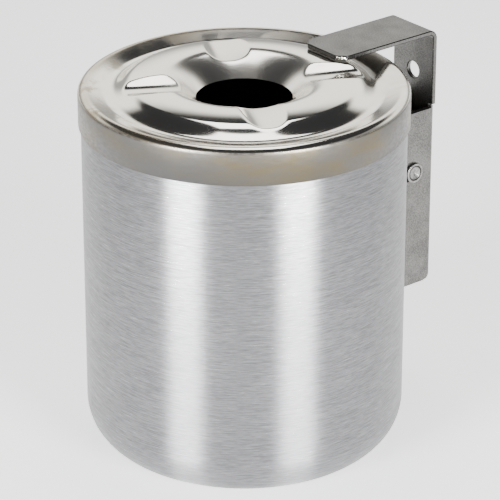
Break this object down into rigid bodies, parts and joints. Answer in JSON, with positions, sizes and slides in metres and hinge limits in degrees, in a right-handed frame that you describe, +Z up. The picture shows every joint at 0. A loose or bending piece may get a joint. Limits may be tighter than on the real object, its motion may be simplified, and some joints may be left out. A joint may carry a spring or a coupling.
{
  "type": "wall-mounted ashtray bin",
  "caption": "Round metal ashtray bin with a loose pressed lid, central hole and cigarette rests, held to a wall by a bent steel bracket whose arm covers the lid.",
  "frame": {"origin": "on the wall: the bracket's back face, on its centre line, level with the lock screw", "axes": "+Z up, +Y into the wall, +X to the right seen from in front of the bin, towards the lock screw's head"},
  "size_m": [0.135, 0.1611, 0.1627],
  "materials": {
    "brushed_aluminium": "brushed round the can",
    "polished_steel": "polished top, satin skirt with a warm stain",
    "matt_steel": "matt, fine-grained stainless sheet",
    "turned_steel": "bright turned",
    "nylon": "natural nylon"
  },
  "bodies": {
    "bracket": {"wall_bracket": "matt_steel"},
    "can": {"can_body": "brushed_aluminium", "hanger_channel": "matt_steel", "rivet_upper": "turned_steel", "rivet_lower": "turned_steel", "backing_washer_upper": "matt_steel", "backing_washer_lower": "matt_steel", "spacer_sleeve": "turned_steel", "shim_washer_left": "nylon", "shim_washer_right": "nylon", "lock_nut": "turned_steel"},
    "lid": {"lid": "polished_steel"},
    "screw": {"lock_screw": "turned_steel"}
  },
  "joints": [
    {"name": "can_slide", "type": "slide", "parent": "bracket", "child": "can", "axis": [0, -1, 0], "range_m": [0, 0.06]},
    {"name": "lid_turn", "type": "hinge", "parent": "can", "child": "lid", "pos_m": [0, -0.0936, 0.05], "axis": [0, 0, 1], "continuous": true},
    {"name": "screw_loosen", "type": "slide", "parent": "can", "child": "screw", "axis": [1, 0, 0], "range_m": [0, 0.003]}
  ]
}
